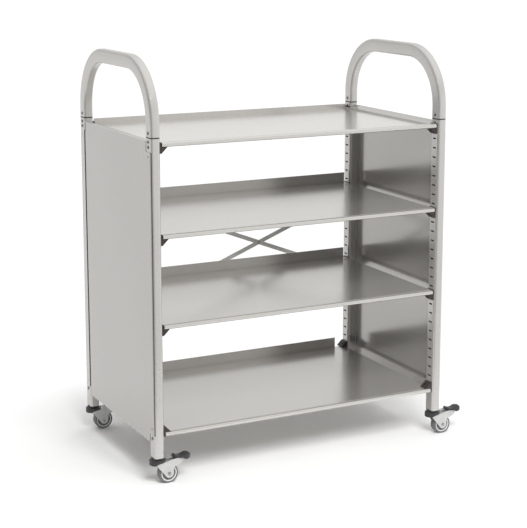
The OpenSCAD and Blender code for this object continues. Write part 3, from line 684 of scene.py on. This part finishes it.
def floor():
    """White floor that ends in front of the unit; beyond an oval round it, it is plain white."""
    left, right, front, back = -14, 14, -0.75, 20
    oval_x, oval_y, fade_start, fade_end = 0.72, 0.48, 0.8, 1.5
    mesh = bpy.data.meshes.new("floor")
    mesh.from_pydata([(left, front, 0), (right, front, 0), (right, back, 0), (left, back, 0)],
                     [], [(0, 1, 2, 3)])
    thing = bpy.data.objects.new("floor", mesh)
    bpy.context.scene.collection.objects.link(thing)
    material, tree, shader = tree_of("floor_white")
    tone = ramp(tree, noise(tree, 3.0, 3.0), ((0.35, (0.93,) * 3), (0.65, (0.95,) * 3)))
    tree.links.new(tone, shader.inputs["Base Color"])
    shader.inputs["Roughness"].default_value = 0.9
    coords = tree.nodes.new("ShaderNodeTexCoord")
    oval = tree.nodes.new("ShaderNodeMapping")
    oval.inputs["Scale"].default_value = (1 / oval_x, 1 / oval_y, 1)
    length = tree.nodes.new("ShaderNodeVectorMath")
    length.operation = "LENGTH"
    tree.links.new(coords.outputs["Object"], oval.inputs["Vector"])
    tree.links.new(oval.outputs["Vector"], length.inputs[0])
    plain = tree.nodes.new("ShaderNodeEmission")
    plain.inputs["Strength"].default_value = WHITE
    mix = tree.nodes.new("ShaderNodeMixShader")
    fade = map_range(tree, length.outputs["Value"], fade_start, fade_end)
    tree.links.new(fade, mix.inputs["Fac"])
    tree.links.new(shader.outputs["BSDF"], mix.inputs[1])
    tree.links.new(plain.outputs["Emission"], mix.inputs[2])
    tree.links.new(mix.outputs["Shader"], tree.nodes["Material Output"].inputs["Surface"])
    mesh.materials.append(material)


def world():
    """White to the camera; to the object, a white room that is dark on the left.

    The room is also dimmer in a belt above the horizon.
    """
    dark_side = (-0.92, -0.37, -0.14)
    side_stops = [(0.0, (1.0, 1.0, 0.99))]
    side_stops += [(at, (level, level, level * 0.985)) for at, level in
                   ((0.38, 0.92), (0.52, 0.76), (0.84, 0.46), (0.94, 0.24))]
    side_stops += [(1.0, (0.12, 0.117, 0.112))]
    belt_stops = [(at, (level,) * 3) for at, level in
                  ((0.0, 1.0), (0.56, 1.0), (0.68, 0.76), (0.74, 0.76), (0.86, 1.0), (1.0, 1.0))]
    made = bpy.data.worlds.new("studio")
    bpy.context.scene.world = made
    made.use_nodes = True
    tree = made.node_tree
    tree.nodes.clear()
    out = tree.nodes.new("ShaderNodeOutputWorld")
    mix = tree.nodes.new("ShaderNodeMixShader")
    path = tree.nodes.new("ShaderNodeLightPath")
    backdrop = tree.nodes.new("ShaderNodeBackground")
    backdrop.inputs["Color"].default_value = (1, 1, 1, 1)
    backdrop.inputs["Strength"].default_value = WHITE
    room = tree.nodes.new("ShaderNodeBackground")
    coords = tree.nodes.new("ShaderNodeTexCoord")
    turn = tree.nodes.new("ShaderNodeVectorMath")
    turn.operation = "DOT_PRODUCT"
    turn.inputs[1].default_value = dark_side
    tree.links.new(coords.outputs["Generated"], turn.inputs[0])
    sideways = map_range(tree, turn.outputs["Value"], -1.0, 1.0)
    tree.links.new(ramp(tree, sideways, side_stops), room.inputs["Color"])
    parts = tree.nodes.new("ShaderNodeSeparateXYZ")
    tree.links.new(coords.outputs["Generated"], parts.inputs["Vector"])
    height = map_range(tree, parts.outputs["Z"], -1.0, 1.0)
    tree.links.new(ramp(tree, height, belt_stops), room.inputs["Strength"])
    tree.links.new(path.outputs["Is Camera Ray"], mix.inputs["Fac"])
    tree.links.new(room.outputs["Background"], mix.inputs[1])
    tree.links.new(backdrop.outputs["Background"], mix.inputs[2])
    tree.links.new(mix.outputs["Shader"], out.inputs["Surface"])


def soft_light(name, place, target, size, power):
    """A square lamp that shines from place to target and isn't mirrored in the metal."""
    data = bpy.data.lights.new(name, "AREA")
    data.shape = "RECTANGLE"
    data.size = size
    data.size_y = size
    data.energy = power
    lamp = bpy.data.objects.new(name, data)
    lamp.location = place
    lamp.rotation_mode = "QUATERNION"
    lamp.rotation_quaternion = (Vector(target) - Vector(place)).to_track_quat("-Z", "Y")
    lamp.visible_glossy = False
    bpy.context.scene.collection.objects.link(lamp)


def camera():
    """The photograph's view: from the left front, a little above the shelves."""
    azimuth, elevation = math.radians(-26.94), math.radians(10.755)
    target = Vector((-0.02893, -0.00195, 0.61693))
    distance = 3.8514
    back = Vector((math.sin(azimuth) * math.cos(elevation),
                   -math.cos(azimuth) * math.cos(elevation), math.sin(elevation)))
    data = bpy.data.cameras.new("camera")
    data.sensor_width = 36.0
    data.lens = 97.83
    data.shift_y = -0.0998
    data.clip_start = 0.1
    data.clip_end = 100.0
    thing = bpy.data.objects.new("camera", data)
    thing.location = target + back * distance
    thing.rotation_mode = "QUATERNION"
    thing.rotation_quaternion = (-back).to_track_quat("-Z", "Y")
    bpy.context.scene.collection.objects.link(thing)
    bpy.context.scene.camera = thing


floor()
world()
soft_light("overhead", (-0.4, -2.4, 2.6), (0, 0, 0.4), 1.4, 90)
camera()
bpy.context.scene.view_settings.view_transform = "Standard"
